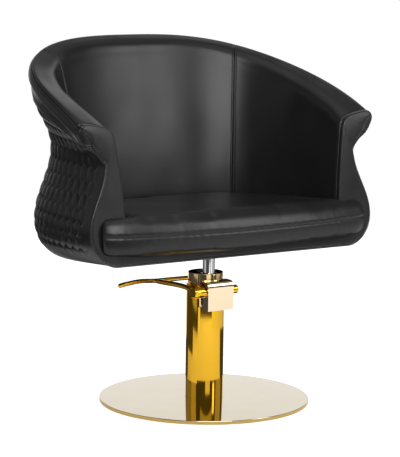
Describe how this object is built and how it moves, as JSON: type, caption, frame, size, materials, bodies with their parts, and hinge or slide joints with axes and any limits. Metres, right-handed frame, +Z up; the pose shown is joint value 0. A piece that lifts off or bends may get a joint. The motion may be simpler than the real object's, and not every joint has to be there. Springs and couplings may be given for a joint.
{
  "type": "styling chair",
  "caption": "Hairdresser's styling chair: leather tub seat with honeycomb-quilted outside, lifting and turning on a hydraulic pump column with foot lever and round disc base.",
  "frame": {"origin": "on the floor at the centre of the disc base", "axes": "+Z up; the seat faces -Y; the sitter's right hand is at -X"},
  "size_m": [0.762, 0.571, 0.7835],
  "materials": {
    "rubber": "matte",
    "steel": "satin",
    "pale_gold": "polished",
    "gold": "polished",
    "bronze": "satin",
    "chrome": "polished",
    "black_leather": "satin",
    "foam": "matte",
    "plywood": "satin",
    "black_cloth": "matte"
  },
  "bodies": {
    "base": {"floor_pad": "rubber", "base_plate": "steel", "base_bolt_1": "steel", "base_bolt_2": "steel", "base_bolt_3": "steel", "base_cover": "pale_gold", "column_foot": "steel", "column_tube": "gold", "reservoir_tube": "steel", "ram_cylinder": "steel", "pump_head": "gold", "rod_guide_bush": "bronze", "rod_wiper": "rubber", "lever_bracket": "pale_gold", "bracket_screw_1": "steel", "bracket_screw_2": "steel", "shaft_bush_left": "bronze", "shaft_bush_right": "bronze", "plunger_spring": "steel"},
    "pedal": {"lever_shaft": "steel", "shaft_knob": "gold", "lever_hub": "gold", "hub_set_screw": "steel", "lever_arm": "gold", "foot_bar": "gold", "pump_crank": "steel"},
    "plunger": {"pump_plunger": "steel"},
    "lift": {"piston_head": "steel", "piston_seal": "rubber", "thrust_washer": "bronze"},
    "seat": {"piston_rod": "chrome", "mount_socket": "steel", "mount_plate": "steel", "mount_bolt_1": "steel", "mount_bolt_2": "steel", "mount_bolt_3": "steel", "mount_bolt_4": "steel", "seat_board": "plywood", "front_rail": "plywood", "front_rail_cover": "black_leather", "dust_cover": "black_cloth", "seat_cushion": "black_leather", "arm_facing_left": "black_leather", "arm_facing_right": "black_leather", "frame_left": "plywood", "frame_back": "plywood", "frame_right": "plywood", "foam_left": "foam", "foam_back": "foam", "foam_right": "foam", "outer_panel_left": "black_leather", "outer_panel_back": "black_leather", "outer_panel_right": "black_leather", "inner_panel_left": "black_leather", "inner_panel_back": "black_leather", "inner_panel_right": "black_leather", "rim_left": "black_leather", "rim_back": "black_leather", "rim_right": "black_leather"}
  },
  "joints": [
    {"name": "seat_lift", "type": "slide", "parent": "base", "child": "lift", "axis": [0, 0, 1], "range_m": [0, 0.13]},
    {"name": "seat_swivel", "type": "hinge", "parent": "lift", "child": "seat", "pos_m": [0, -0.012, 0.0413], "axis": [0, 0, 1], "continuous": true},
    {"name": "pedal_press", "type": "hinge", "parent": "base", "child": "pedal", "pos_m": [0, -0.046, 0.2515], "axis": [-1, 0, 0], "range_deg": [0, 22], "stiffness_Nm_per_rad": 3, "springref_deg": -17.19},
    {"name": "plunger_stroke", "type": "slide", "parent": "base", "child": "plunger", "axis": [0, 0, -1], "range_m": [0, 0.0078], "deforming": ["plunger_spring"]}
  ],
  "couplings": [
    {"joint": "plunger_stroke", "follows": "pedal_press", "m_per_rad": 0.0195}
  ]
}
